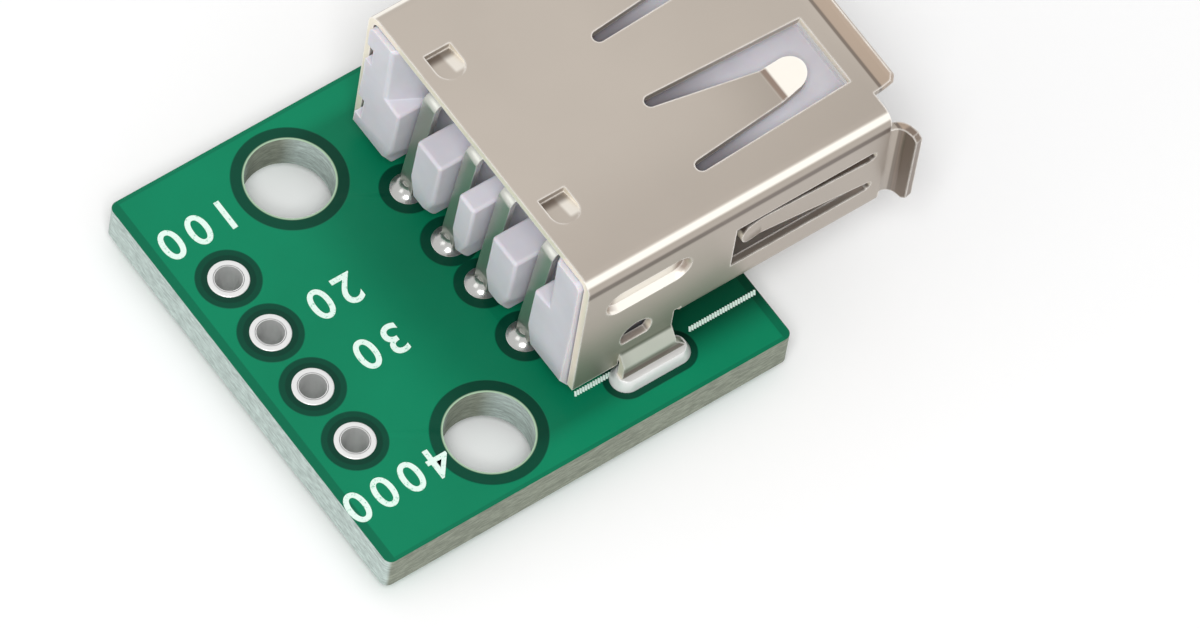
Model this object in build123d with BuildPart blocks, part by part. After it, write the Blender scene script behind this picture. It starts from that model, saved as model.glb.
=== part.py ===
"""USB breakout board: a small circuit board with a socket, its contacts brought out to a row of holes.

The origin is the middle of the two screw holes on the underside of the board. +X points out of the
socket's mouth, +Y across the board and +Z up from the side that carries the socket. Millimetres.
"""
from build123d import *
import os

# Board
board_length = 17.1
board_thickness = 1.6
board_corner_radius = 0.3
# distance from the line of the screw holes back to the rear edge
board_rear_margin = 5.95
# board left outside the lug slots, which sets its width
board_side_margin = 1.265

# Screw holes
screw_spacing = 12.0
screw_hole_diameter = 3.2

# Header row
header_pitch = 2.54
header_count = 4
header_setback = 4.1
header_bore = 1.0

# Plated barrels in the holes
plating = 0.05
plating_proud = 0.03
contact_bore = 0.95

# Socket contacts: two close together in the middle, one wide step out on each side
contact_row_x = 3.25
inner_contact_spacing = 2.0
outer_contact_step = 2.5
contact_width = 0.7
contact_sheet = 0.25
contact_bend_radius = 0.4
contact_lean = 0.5
contact_knee_height = 0.8
contact_bump = 0.65
contact_bump_run = 1.95
contact_bump_setback = 1.9
contact_end_setback = 0.9
pin_below_board = 0.7
pin_tip_chamfer = 0.06

# Shell of folded sheet
shell_sheet = 0.3
shell_width = 13.1
shell_height = 5.72
shell_floor_above_board = 1.98
shell_rear_x = 3.0
shell_length = 12.8
shell_bend_radius = 0.6

# Skirts beside the comb, which end short of the board
skirt_above_board = 0.9
floor_relief = 0.3

# Lugs that pass through the board, set back at the front above their feet
lug_width = 2.65
lug_lead = 3.0
lug_setback = 0.45
lug_foot_top = 0.5
lug_setback_bottom = 1.0
lug_kink = 0.36
lug_kink_top = 1.65
lug_kink_bottom = 1.15
lug_tip_chamfer = 0.1
lug_slot_clearance = 0.125
lug_slot_width = 0.85

# Holes lanced above the lugs, each cut off along a straight edge
lance_radius = 0.66
lance_above_board = 2.6
lance_cut_off = 0.4
lance_offset = 0.75

# Spring fingers in the roof and the floor
window_rear = 6.1
window_front_margin = 0.4
window_rear_width = 3.5
window_front_width = 3.0
window_offset = 3.05
finger_root_width = 2.55
finger_neck_width = 1.45
finger_neck = 4.1
finger_tip_radius = 0.66
finger_tip_centre = 4.75
finger_bend_radius = 0.35
finger_dip = 0.5
finger_lift = 0.42

# Spring fingers in the side walls
side_window_rear = 6.4
side_window_front_margin = 0.7
side_window_height = 2.4
side_window_drop = 1.8
side_finger_root_width = 1.45
side_finger_neck_width = 1.0
side_finger_end_gap = 0.45
side_finger_dip = 0.25
side_finger_lift = 0.1
side_finger_bend_back = 0.9

# Flared lips round the mouth
roof_lip_width = 10.7
roof_lip_radius = 1.3
roof_lip_angle = 34.0
roof_lip_tail = 0.15
side_lip_width = 4.0
side_lip_radius = 0.45
side_lip_angle = 78.0
side_lip_tail = 0.45
lip_corner_chamfer = 0.2

# Long dimples pressed into the side walls
dimple_length = 3.6
dimple_height = 1.3
dimple_depth = 0.28
dimple_taper = 30.0
dimple_from_rear = 2.75
dimple_below_top = 2.3

# Locking tabs lanced in the roof
tab_from_rear = 1.05
tab_spacing = 6.8
tab_radius = 0.55
tab_length = 1.3
tab_press = 0.28

# Moulded insulator
fit_clearance = 0.05
pocket_clearance = 0.1
mouth_depth = 8.8
comb_gap_width = 1.1
comb_gap_behind = 0.525
comb_gap_flare = 0.25
comb_recess_flare = 0.85
comb_ledge_height = 4.3
comb_face_proud = 0.2
comb_belly_proud = 0.33
comb_belly_height = 1.35
comb_foot_height = 0.72
comb_foot_setback = 0.05
notch_heights = (5.27, 1.88)
notch_depth = 0.43
notch_rise = 1.25
notch_width = 0.35
tongue_width = 11.1
tongue_thickness = 1.84
tongue_below_roof = 0.66
tongue_setback = 0.1
tongue_chamfer = 0.2
contact_groove_width = 1.0
contact_groove_depth = 0.6
contact_groove_lead = 0.3
foot_clearance = 0.2

# Solder
solder_spread = 0.17
contact_solder_top = 0.4
contact_solder_bottom = 0.45
contact_solder_neck = 0.12
lug_solder_top = 0.42
lug_solder_bottom = 0.4
lug_solder_taper = 25.0

# Places worked out from the sizes above
board_rear_x = -board_rear_margin
board_front_x = board_rear_x + board_length
board_top = board_thickness
header_x = -header_setback
header_ys = [(index - (header_count - 1) / 2) * header_pitch for index in range(header_count)]

shell_half = shell_width / 2
shell_inner_half = shell_half - shell_sheet
shell_floor = board_top + shell_floor_above_board
shell_top = shell_floor + shell_height
roof_inside = shell_top - shell_sheet
floor_inside = shell_floor + shell_sheet
mouth_x = shell_rear_x + shell_length

lug_x = contact_row_x + lug_lead
lug_y = shell_half + lug_kink - shell_sheet / 2
lug_rear = lug_x - lug_width / 2
lug_front = lug_x + lug_width / 2
skirt_front = lug_front - lug_setback
floor_start = skirt_front + floor_relief
lug_slot_length = lug_width + 2 * lug_slot_clearance
board_width = 2 * (lug_y + lug_slot_width / 2 + board_side_margin)
lug_solder_length = lug_slot_length + 2 * solder_spread
lug_solder_width = lug_slot_width + 2 * solder_spread

insulator_front = mouth_x - mouth_depth
insulator_half = shell_inner_half - fit_clearance
comb_back = contact_row_x + contact_lean + contact_sheet / 2 + comb_gap_behind
tongue_front = mouth_x - tongue_setback
tongue_top = roof_inside - tongue_below_roof
tongue_bottom = tongue_top - tongue_thickness
contact_level = tongue_bottom + contact_groove_depth - contact_sheet / 2
contact_ys = {
    "ground": inner_contact_spacing / 2 + outer_contact_step,
    "data_plus": inner_contact_spacing / 2,
    "data_minus": -inner_contact_spacing / 2,
    "power": -inner_contact_spacing / 2 - outer_contact_step,
}
sides = {"far": 1, "near": -1}

# The four walls of the shell as planes: X runs to the mouth and Z points outwards
roof_wall = Plane(origin=(0, 0, shell_top), x_dir=(1, 0, 0), z_dir=(0, 0, 1))
floor_wall = Plane(origin=(0, 0, shell_floor), x_dir=(1, 0, 0), z_dir=(0, 0, -1))
side_walls = {
    side: Plane(origin=(0, side * shell_half, shell_top), x_dir=(1, 0, 0), z_dir=(0, side, 0))
    for side in sides.values()
}


def spot(wall, along, across, turned=False):
    """A plane on a wall with its origin moved along and across, turned to face the rear if asked."""
    origin = wall.from_local_coords(Vector(along, across, 0))
    x_dir = -wall.x_dir if turned else wall.x_dir
    return Plane(origin=origin, x_dir=x_dir, z_dir=wall.z_dir)


def spring_finger(root_width, neck_width, neck, tip_centre, tip_radius, dip, lift):
    """A finger that leaves the wall at x = 0, dips inwards along +X and turns up at its round tip."""
    reach = tip_centre + tip_radius
    with BuildPart() as finger:
        with BuildSketch():
            with BuildLine():
                Polyline(
                    (0, -root_width / 2),
                    (neck, -neck_width / 2),
                    (tip_centre, -tip_radius),
                    (tip_centre, tip_radius),
                    (neck, neck_width / 2),
                    (0, root_width / 2),
                    close=True,
                )
            make_face()
            with Locations((tip_centre, 0)):
                Circle(tip_radius)
        extrude(amount=2 * dip + shell_sheet, both=True)
        with BuildSketch(Plane.XZ):
            with BuildLine():
                outer = FilletPolyline((0, 0), (neck, -dip), (reach, lift - dip), radius=finger_bend_radius)
                inner = FilletPolyline(
                    (0, -shell_sheet),
                    (neck, -dip - shell_sheet),
                    (reach, lift - dip - shell_sheet),
                    radius=finger_bend_radius,
                )
                Line(outer @ 0, inner @ 0)
                Line(outer @ 1, inner @ 1)
            make_face()
        extrude(amount=root_width, both=True, mode=Mode.INTERSECT)
    return finger.part


def flared_lip(width, radius, angle, tail):
    """A strip that carries on from a wall's edge at x = 0, curls outwards on a radius and ends straight."""
    with BuildPart() as lip:
        with BuildSketch(Plane.XZ):
            with BuildLine():
                outer = CenterArc((0, radius), radius, -90, angle)
                inner = CenterArc((0, radius), radius + shell_sheet, -90, angle)
                outer_end = outer @ 1 + tail * (outer % 1)
                inner_end = inner @ 1 + tail * (inner % 1)
                Line(outer @ 0, inner @ 0)
                Polyline(outer @ 1, outer_end, inner_end, inner @ 1)
            make_face()
        extrude(amount=width / 2, both=True)
        tip = lip.faces().filter_by(GeomType.PLANE).filter_by(Axis.Y, reverse=True)
        rim = tip.sort_by_distance((outer_end.X, 0, outer_end.Y))[0]
        corners = rim.edges().filter_by(Axis.Y, reverse=True)
        chamfer(corners, lip_corner_chamfer)
    return lip.part


def pressed_wedge(radius, length, press):
    """A tongue along -Y with a round end, flush at that end and pressed down along its edge on y = 0."""
    with BuildPart() as wedge:
        with BuildSketch():
            with Locations((0, radius - length)):
                Circle(radius)
            with Locations((0, (radius - length) / 2)):
                Rectangle(2 * radius, length - radius)
        extrude(amount=-press)
        with BuildSketch(Plane.YZ):
            with BuildLine():
                Polyline((-length, 0), (0, 0), (0, -press), close=True)
            make_face()
        extrude(amount=radius, both=True, mode=Mode.INTERSECT)
    return wedge.part


def lug():
    """A lug on the far side: kinked outwards under the wall, then straight down through the board."""
    with BuildPart() as blade:
        with BuildSketch(Plane.YZ.offset(lug_rear)):
            with BuildLine():
                Polyline(
                    (shell_inner_half, board_top + lug_kink_top),
                    (shell_half, board_top + lug_kink_top),
                    (shell_half + lug_kink, board_top + lug_kink_bottom),
                    (shell_half + lug_kink, -pin_below_board),
                    (shell_inner_half + lug_kink, -pin_below_board),
                    (shell_inner_half + lug_kink, board_top + lug_kink_bottom),
                    close=True,
                )
            make_face()
        extrude(amount=lug_width)
        with BuildSketch(Plane.XZ):
            with BuildLine():
                Polyline(
                    (lug_rear, -pin_below_board),
                    (lug_front, -pin_below_board),
                    (lug_front, board_top + lug_foot_top),
                    (skirt_front, board_top + lug_setback_bottom),
                    (skirt_front, board_top + lug_kink_top),
                    (lug_rear, board_top + lug_kink_top),
                    close=True,
                )
            make_face()
        extrude(amount=shell_width, both=True, mode=Mode.INTERSECT)
        tip = blade.faces().sort_by(Axis.Z)[0]
        chamfer(tip.edges().filter_by(Axis.Y), lug_tip_chamfer)
    return blade.part


def solder_plug(bore, rise, fall, neck):
    """Solder that fills a plated round hole, climbs a pin from a wide foot above and closes on it below."""
    foot = bore / 2 + solder_spread
    with BuildPart() as joint:
        with BuildSketch(Plane.XZ):
            with BuildLine():
                Polyline(
                    (0, -fall),
                    (neck, -fall),
                    (bore / 2, 0),
                    (bore / 2, board_thickness),
                    (foot, board_thickness),
                    (neck, board_thickness + rise),
                    (0, board_thickness + rise),
                    close=True,
                )
            make_face()
        revolve(axis=Axis.Z)
    return joint.part


def finish(part, name):
    """Labels a piece and writes it to its own file."""
    part.label = name
    export_step(part, f"parts/{name}.step")


os.makedirs("parts", exist_ok=True)

# Circuit board with its screw holes, header holes, contact holes and lug slots
contact_spots = [(contact_row_x, y) for y in contact_ys.values()]
lug_spots = {name: (lug_x, side * lug_y) for name, side in sides.items()}
with BuildPart() as board:
    with BuildSketch():
        with Locations(((board_rear_x + board_front_x) / 2, 0)):
            RectangleRounded(board_length, board_width, board_corner_radius)
        with GridLocations(0, screw_spacing, 1, 2):
            Circle(screw_hole_diameter / 2, mode=Mode.SUBTRACT)
        with Locations([(header_x, y) for y in header_ys]):
            Circle(header_bore / 2 + plating, mode=Mode.SUBTRACT)
        with Locations(contact_spots):
            Circle(contact_bore / 2 + plating, mode=Mode.SUBTRACT)
        with Locations(list(lug_spots.values())):
            SlotOverall(lug_slot_length + 2 * plating, lug_slot_width + 2 * plating, mode=Mode.SUBTRACT)
    extrude(amount=board_thickness)
finish(board.part, "circuit_board")

# Plated barrels of the header holes, numbered from the far side
for number, y in enumerate(reversed(header_ys), start=1):
    with BuildPart() as header_hole:
        with BuildSketch(Plane.XY.offset(-plating_proud)):
            with Locations((header_x, y)):
                Circle(header_bore / 2 + plating)
                Circle(header_bore / 2, mode=Mode.SUBTRACT)
        extrude(amount=board_thickness + 2 * plating_proud)
    finish(header_hole.part, f"header_hole_{number}")

# Contacts: each runs in its groove under the tongue, straight through the block and down to the board
contact_end_x = tongue_front - contact_end_setback
bump_x = tongue_front - contact_bump_setback
contacts = {}
for name, y in contact_ys.items():
    with BuildPart() as contact:
        with BuildLine(Plane.XZ.offset(-y)) as route:
            FilletPolyline(
                (contact_end_x, contact_level - contact_bump / 2),
                (bump_x, contact_level - contact_bump),
                (bump_x - contact_bump_run, contact_level),
                (contact_row_x + contact_lean, contact_level),
                (contact_row_x, board_top + contact_knee_height),
                (contact_row_x, -pin_below_board),
                radius=contact_bend_radius,
            )
        with BuildSketch(Plane(origin=route.line @ 0, x_dir=(0, 1, 0), z_dir=route.line % 0)):
            Rectangle(contact_width, contact_sheet)
        sweep()
        pin_tip = contact.faces().sort_by(Axis.Z)[0]
        chamfer(pin_tip.edges(), pin_tip_chamfer)
    contacts[name] = contact.part
    finish(contact.part, f"{name}_contact")

# Plated barrels of the contact holes and the solder in them, which hides their rings
contact_plug = solder_plug(contact_bore, contact_solder_top, contact_solder_bottom, contact_solder_neck)
for name, y in contact_ys.items():
    with BuildPart() as contact_hole:
        with BuildSketch():
            with Locations((contact_row_x, y)):
                Circle(contact_bore / 2 + plating)
                Circle(contact_bore / 2, mode=Mode.SUBTRACT)
        extrude(amount=board_thickness)
    finish(contact_hole.part, f"{name}_hole")
    with BuildPart() as contact_solder:
        with Locations((contact_row_x, y, 0)):
            add(contact_plug)
        add(contacts[name], mode=Mode.SUBTRACT)
    finish(contact_solder.part, f"{name}_solder")

# Shell folded from one sheet, with its fingers, lips, dimples, tabs, skirts and lugs
slot_width = (window_rear_width - finger_root_width) / 2
window_length = shell_length - window_rear - window_front_margin
side_window_length = shell_length - side_window_rear - side_window_front_margin
side_finger_reach = side_window_length - side_finger_end_gap
side_slot_width = (side_window_height - side_finger_root_width) / 2
side_middle = side_window_drop + side_window_height / 2
wide_finger = spring_finger(
    finger_root_width,
    finger_neck_width,
    finger_neck,
    finger_tip_centre,
    finger_tip_radius,
    finger_dip,
    finger_lift,
)
narrow_finger = spring_finger(
    side_finger_root_width,
    side_finger_neck_width,
    side_finger_reach - side_finger_bend_back,
    side_finger_reach - side_finger_neck_width / 2,
    side_finger_neck_width / 2,
    side_finger_dip,
    side_finger_lift,
)
wide_lip = flared_lip(roof_lip_width, roof_lip_radius, roof_lip_angle, roof_lip_tail)
side_lip = flared_lip(side_lip_width, side_lip_radius, side_lip_angle, side_lip_tail)
tab_wedge = pressed_wedge(tab_radius, tab_length, tab_press)
far_lug = lug()

with BuildPart() as shell:
    # folded tube
    with BuildSketch(Plane.YZ.offset(shell_rear_x)):
        with Locations((0, (shell_top + shell_floor) / 2)):
            RectangleRounded(shell_width, shell_height, shell_bend_radius)
            RectangleRounded(
                shell_width - 2 * shell_sheet,
                shell_height - 2 * shell_sheet,
                shell_bend_radius - shell_sheet,
                mode=Mode.SUBTRACT,
            )
    extrude(amount=shell_length)

    # floor cut back behind the skirts
    with BuildSketch(Plane.XY.offset(shell_floor)):
        with Locations(((shell_rear_x + floor_start) / 2, 0)):
            Rectangle(floor_start - shell_rear_x, shell_width)
    extrude(amount=shell_bend_radius, mode=Mode.SUBTRACT)

    # skirts beside the comb, cut away where the lugs are kinked outwards
    straight_drop = shell_height - shell_bend_radius
    lug_top_drop = shell_top - board_top - lug_kink_top
    skirt_drop = shell_top - board_top - skirt_above_board
    for side, wall in side_walls.items():
        with BuildSketch(spot(wall, shell_rear_x, 0)):
            with BuildLine():
                Polyline(
                    (0, side * straight_drop),
                    (skirt_front - shell_rear_x, side * straight_drop),
                    (skirt_front - shell_rear_x, side * lug_top_drop),
                    (lug_rear - shell_rear_x, side * lug_top_drop),
                    (lug_rear - shell_rear_x, side * skirt_drop),
                    (0, side * skirt_drop),
                    close=True,
                )
            make_face()
        extrude(amount=-shell_sheet)
    add(far_lug)
    add(far_lug.mirror(Plane.XZ))

    # holes lanced above the lugs, each cut off along a straight edge
    lance_drop = shell_top - board_top - lance_above_board
    for side, wall in side_walls.items():
        with BuildSketch(spot(wall, lug_x - lance_offset, side * lance_drop)):
            Circle(lance_radius)
            with Locations((0, side * (lance_cut_off + lance_radius))):
                Rectangle(2 * lance_radius, 2 * lance_radius, mode=Mode.SUBTRACT)
        extrude(amount=-shell_sheet, mode=Mode.SUBTRACT)

    # spring fingers in the roof and the floor
    for wall in (roof_wall, floor_wall):
        for side in sides.values():
            root = spot(wall, shell_rear_x + window_rear, side * window_offset)
            with BuildSketch(root):
                with BuildLine():
                    Polyline(
                        (0, -window_rear_width / 2),
                        (window_length, -window_front_width / 2),
                        (window_length, window_front_width / 2),
                        (0, window_rear_width / 2),
                        close=True,
                    )
                make_face()
                with GridLocations(0, window_rear_width - slot_width, 1, 2):
                    Circle(slot_width / 2)
            extrude(amount=-shell_sheet, mode=Mode.SUBTRACT)
            with Locations(root.location):
                add(wide_finger)

    # spring fingers in the side walls, rooted by the mouth
    for side, wall in side_walls.items():
        root = spot(wall, mouth_x - side_window_front_margin, side * side_middle, turned=True)
        with BuildSketch(root):
            with Locations((side_window_length / 2, 0)):
                Rectangle(side_window_length, side_window_height)
            with GridLocations(0, side_window_height - side_slot_width, 1, 2):
                Circle(side_slot_width / 2)
        extrude(amount=-shell_sheet, mode=Mode.SUBTRACT)
        with Locations(root.location):
            add(narrow_finger)

    # flared lips round the mouth
    for wall in (roof_wall, floor_wall):
        with Locations(spot(wall, mouth_x, 0).location):
            add(wide_lip)
    for side, wall in side_walls.items():
        with Locations(spot(wall, mouth_x, side * shell_height / 2).location):
            add(side_lip)

    # long dimples pressed into the side walls
    for side, wall in side_walls.items():
        dimple_spot = spot(wall, shell_rear_x + dimple_from_rear, side * dimple_below_top)
        with BuildSketch(dimple_spot.offset(-shell_sheet)):
            SlotOverall(dimple_length, dimple_height)
        extrude(amount=-dimple_depth, taper=dimple_taper)
        with BuildSketch(dimple_spot):
            SlotOverall(dimple_length, dimple_height)
        extrude(amount=-dimple_depth, taper=dimple_taper, mode=Mode.SUBTRACT)

    # locking tabs lanced in the roof: pressed in along one straight edge
    for side in sides.values():
        tab_spot = spot(roof_wall, shell_rear_x + tab_from_rear, (side * tab_spacing + tab_length) / 2)
        with Locations(tab_spot.offset(-shell_sheet).location):
            add(tab_wedge)
        with Locations(tab_spot.location):
            add(tab_wedge, mode=Mode.SUBTRACT)
finish(shell.part, "socket_shell")

# Insulator moulded in one piece: block, comb at the rear and tongue in the mouth
fin_face = shell_rear_x - comb_face_proud
fin_belly = shell_rear_x - comb_belly_proud
ledge = board_top + comb_ledge_height
comb_foot = board_top + comb_foot_height
block_top = roof_inside - fit_clearance
block_bottom = floor_inside + fit_clearance
foot_half = lug_y - lug_solder_width / 2 - foot_clearance
with BuildPart() as insulator:
    # block that fills the rear of the shell
    with BuildSketch(Plane.YZ.offset(fin_face)):
        with Locations((0, (block_top + block_bottom) / 2)):
            RectangleRounded(2 * insulator_half, block_top - block_bottom, shell_bend_radius - shell_sheet)
    extrude(amount=insulator_front - fin_face)

    # foot under the block, narrow enough to clear the lugs' solder
    with BuildSketch(Plane.YZ.offset(comb_back)):
        with Locations((0, (block_bottom + comb_foot) / 2)):
            Rectangle(2 * foot_half, block_bottom - comb_foot)
    extrude(amount=insulator_front - comb_back)

    # comb: one profile across the whole width
    with BuildSketch(Plane.XZ):
        with BuildLine():
            Polyline(
                (comb_back, comb_foot),
                (shell_rear_x + comb_foot_setback, comb_foot),
                (fin_belly, board_top + comb_belly_height),
                (fin_face, ledge),
                (comb_back, ledge),
                close=True,
            )
        make_face()
    extrude(amount=insulator_half, both=True)

    # recess above the comb's ledge, narrower towards its back wall
    recess_half = contact_ys["ground"] + comb_gap_width / 2
    with BuildSketch(Plane.XY.offset(ledge)):
        with BuildLine():
            Polyline(
                (fin_face, -recess_half - comb_recess_flare),
                (fin_face, recess_half + comb_recess_flare),
                (comb_back, recess_half),
                (comb_back, -recess_half),
                close=True,
            )
        make_face()
    extrude(amount=block_top - ledge, mode=Mode.SUBTRACT)

    # gaps between the fins, one for each contact, flared at the foot
    half_gap = comb_gap_width / 2
    with BuildSketch(Plane.YZ.offset(fin_belly)):
        for y in contact_ys.values():
            with BuildLine():
                Polyline(
                    (y - half_gap - comb_gap_flare, comb_foot),
                    (y + half_gap + comb_gap_flare, comb_foot),
                    (y + half_gap, board_top + comb_belly_height),
                    (y + half_gap, ledge),
                    (y - half_gap, ledge),
                    (y - half_gap, board_top + comb_belly_height),
                    close=True,
                )
            make_face()
    extrude(amount=comb_back - fin_belly, mode=Mode.SUBTRACT)

    # two notches down the far rear corner
    for height in notch_heights:
        notch_floor = board_top + height
        with BuildSketch(Plane.XZ.offset(-insulator_half)):
            with BuildLine():
                Polyline(
                    (fin_belly, notch_floor),
                    (fin_face + notch_depth, notch_floor),
                    (fin_belly, notch_floor + notch_rise),
                    close=True,
                )
            make_face()
        extrude(amount=notch_width, mode=Mode.SUBTRACT)

    # tongue, with its leading edges chamfered and a groove for each contact
    with BuildSketch(Plane.YZ.offset(insulator_front)):
        with Locations((0, (tongue_top + tongue_bottom) / 2)):
            Rectangle(tongue_width, tongue_thickness)
    extrude(amount=tongue_front - insulator_front)
    tongue_end = insulator.faces().sort_by(Axis.X)[-1]
    chamfer(tongue_end.edges(), tongue_chamfer)
    groove_end = contact_end_x + contact_groove_lead
    with BuildSketch(Plane.XY.offset(tongue_bottom)):
        with Locations([((insulator_front + groove_end) / 2, y) for y in contact_ys.values()]):
            Rectangle(groove_end - insulator_front, contact_groove_width)
    extrude(amount=contact_groove_depth, mode=Mode.SUBTRACT)

    # channels for the contacts, and pockets for the shell's dimples and tabs
    for contact_part in contacts.values():
        add(contact_part, mode=Mode.SUBTRACT)
    for side, wall in side_walls.items():
        dimple_spot = spot(wall, shell_rear_x + dimple_from_rear, side * dimple_below_top)
        with BuildSketch(dimple_spot.offset(-shell_sheet)):
            SlotOverall(dimple_length + 2 * pocket_clearance, dimple_height + 2 * pocket_clearance)
        extrude(amount=-dimple_depth - pocket_clearance, mode=Mode.SUBTRACT)
        tab_spot = spot(roof_wall, shell_rear_x + tab_from_rear, side * tab_spacing / 2)
        with BuildSketch(tab_spot.offset(-shell_sheet)):
            Rectangle(2 * (tab_radius + pocket_clearance), tab_length + 2 * pocket_clearance)
        extrude(amount=-tab_press - pocket_clearance, mode=Mode.SUBTRACT)
finish(insulator.part, "socket_insulator")

# Plated barrels of the lug slots and the solder in them, which hides their rings
for name, (x, y) in lug_spots.items():
    with BuildPart() as lug_slot:
        with BuildSketch():
            with Locations((x, y)):
                SlotOverall(lug_slot_length + 2 * plating, lug_slot_width + 2 * plating)
                SlotOverall(lug_slot_length, lug_slot_width, mode=Mode.SUBTRACT)
        extrude(amount=board_thickness)
    finish(lug_slot.part, f"{name}_lug_slot")
    with BuildPart() as lug_solder:
        with BuildSketch():
            with Locations((x, y)):
                SlotOverall(lug_slot_length, lug_slot_width)
        extrude(amount=board_thickness)
        with BuildSketch(Plane.XY.offset(board_thickness)):
            with Locations((x, y)):
                SlotOverall(lug_solder_length, lug_solder_width)
        extrude(amount=lug_solder_top, taper=lug_solder_taper)
        with BuildSketch():
            with Locations((x, y)):
                SlotOverall(lug_slot_length, lug_slot_width)
        extrude(amount=-lug_solder_bottom, taper=lug_solder_taper)
        add(shell.part, mode=Mode.SUBTRACT)
    finish(lug_solder.part, f"{name}_lug_solder")
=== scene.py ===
import logging
import math
from dataclasses import dataclass
from enum import Enum
from typing import Any, Sequence

import bmesh
import bpy
from mathutils import Matrix, Vector


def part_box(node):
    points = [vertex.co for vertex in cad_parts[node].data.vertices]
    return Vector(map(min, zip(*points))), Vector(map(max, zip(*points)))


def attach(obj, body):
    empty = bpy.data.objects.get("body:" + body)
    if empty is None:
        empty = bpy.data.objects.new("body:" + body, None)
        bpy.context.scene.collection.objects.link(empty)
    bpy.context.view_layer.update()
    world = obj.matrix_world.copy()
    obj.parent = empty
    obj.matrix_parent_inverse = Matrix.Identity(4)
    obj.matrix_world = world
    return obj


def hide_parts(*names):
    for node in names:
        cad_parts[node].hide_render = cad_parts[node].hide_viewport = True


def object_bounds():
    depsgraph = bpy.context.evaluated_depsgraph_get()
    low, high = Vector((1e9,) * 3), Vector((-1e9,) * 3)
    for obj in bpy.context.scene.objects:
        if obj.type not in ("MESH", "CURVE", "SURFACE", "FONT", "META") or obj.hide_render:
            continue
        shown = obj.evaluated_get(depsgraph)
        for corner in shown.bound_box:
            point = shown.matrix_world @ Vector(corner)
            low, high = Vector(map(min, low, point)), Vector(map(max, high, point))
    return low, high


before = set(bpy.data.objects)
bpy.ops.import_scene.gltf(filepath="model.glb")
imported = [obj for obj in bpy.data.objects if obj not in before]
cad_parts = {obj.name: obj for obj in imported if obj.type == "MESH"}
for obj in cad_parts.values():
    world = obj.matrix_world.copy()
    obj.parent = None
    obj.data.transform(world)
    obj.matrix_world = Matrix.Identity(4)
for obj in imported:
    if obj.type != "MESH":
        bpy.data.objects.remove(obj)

CAD_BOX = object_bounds()
MM = 0.001
BODY = "root"
PHOTO_WIDTH_PX = 1200
WELD = 0.0005 * MM
FLAT_ANGLE = 1.0
BEVEL_ANGLE = 38.0
BEVEL_SEGMENTS = 2
Colour = tuple[int, int, int]
Socket = bpy.types.NodeSocket
log = logging.getLogger("usb_breakout_board")


def linear(red: float, green: float, blue: float) -> tuple[float, float, float, float]:
    """Turns a colour written in 0 to 255 display steps into linear light with full alpha.

    Args:
        red: Red as shown on a display.
        green: Green as shown on a display.
        blue: Blue as shown on a display.

    Returns:
        The colour as four linear values.
    """
    steps = [value / 255 for value in (red, green, blue)]
    light = [s / 12.92 if s <= 0.04045 else ((s + 0.055) / 1.055) ** 2.4 for s in steps]
    return (light[0], light[1], light[2], 1.0)


def scaled(colour: Colour, share: float) -> tuple[float, float, float, float]:
    """Returns a display colour in linear light, made darker or lighter by a share."""
    red, green, blue = (min(1.0, channel * share) for channel in linear(*colour)[:3])
    return (red, green, blue, 1.0)


class Graph:
    """Adds nodes to one tree and wires them by plain values or sockets."""

    def __init__(self, tree: bpy.types.NodeTree) -> None:
        """Keeps the tree that the nodes go to."""
        self.tree = tree

    def add(self, kind: str, inputs: dict[Any, Any] | None = None, **settings: Any) -> bpy.types.Node:
        """Adds a node, sets its properties and feeds its inputs.

        Args:
            kind: The node's type name.
            inputs: Socket name or index to a value or an output socket.
            **settings: Properties set on the node.

        Returns:
            The new node.
        """
        node = self.tree.nodes.new(kind)
        for name, value in settings.items():
            setattr(node, name, value)
        for key, value in (inputs or {}).items():
            self.feed(node.inputs[key], value)
        return node

    def feed(self, socket: Socket, value: Any) -> None:
        """Links an output socket to an input, or sets the input's own value.

        Args:
            socket: The input.
            value: An output socket or a plain value.
        """
        if isinstance(value, bpy.types.NodeSocket):
            self.tree.links.new(value, socket)
        else:
            socket.default_value = value

    def math(self, operation: str, *values: Any, clamp: bool = False) -> Socket:
        """Returns the result of a Math node on the values."""
        node = self.add("ShaderNodeMath", dict(enumerate(values)), operation=operation, use_clamp=clamp)
        return node.outputs[0]

    def mix(self, factor: Any, first: Any, second: Any, blend: str = "MIX") -> Socket:
        """Returns a colour mixed from first to second by the factor."""
        inputs = {0: factor, 6: first, 7: second}
        return self.add("ShaderNodeMix", inputs, data_type="RGBA", blend_type=blend).outputs[2]

    def ramp(self, value: Any, low: Any, high: Any, to_low: Any = 0.0, to_high: Any = 1.0) -> Socket:
        """Returns the value moved smoothly from the range low to high to a new range."""
        inputs = {0: value, 1: low, 2: high, 3: to_low, 4: to_high}
        return self.add("ShaderNodeMapRange", inputs, interpolation_type="SMOOTHSTEP").outputs[0]

    def vector(self, x: Any = 0.0, y: Any = 0.0, z: Any = 0.0) -> Socket:
        """Returns a vector of three values."""
        return self.add("ShaderNodeCombineXYZ", {0: x, 1: y, 2: z}).outputs[0]

    def darken(self, colour: Any, light: Any) -> Socket:
        """Returns the colour times a light value."""
        return self.mix(1.0, colour, self.vector(light, light, light), "MULTIPLY")

    def away(self, value: Any, middle: Any) -> Socket:
        """Returns the value's distance from a middle."""
        return self.math("ABSOLUTE", self.math("SUBTRACT", value, middle))

    def split(self, vector: Any) -> bpy.types.bpy_prop_collection:
        """Returns a vector's three parts."""
        return self.add("ShaderNodeSeparateXYZ", {0: vector}).outputs

    def place(self) -> Socket:
        """Returns the point on the surface in the object's own frame."""
        return self.add("ShaderNodeTexCoord").outputs["Object"]

    def normal(self) -> Socket:
        """Returns the direction that the surface faces."""
        return self.add("ShaderNodeNewGeometry").outputs["Normal"]


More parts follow.
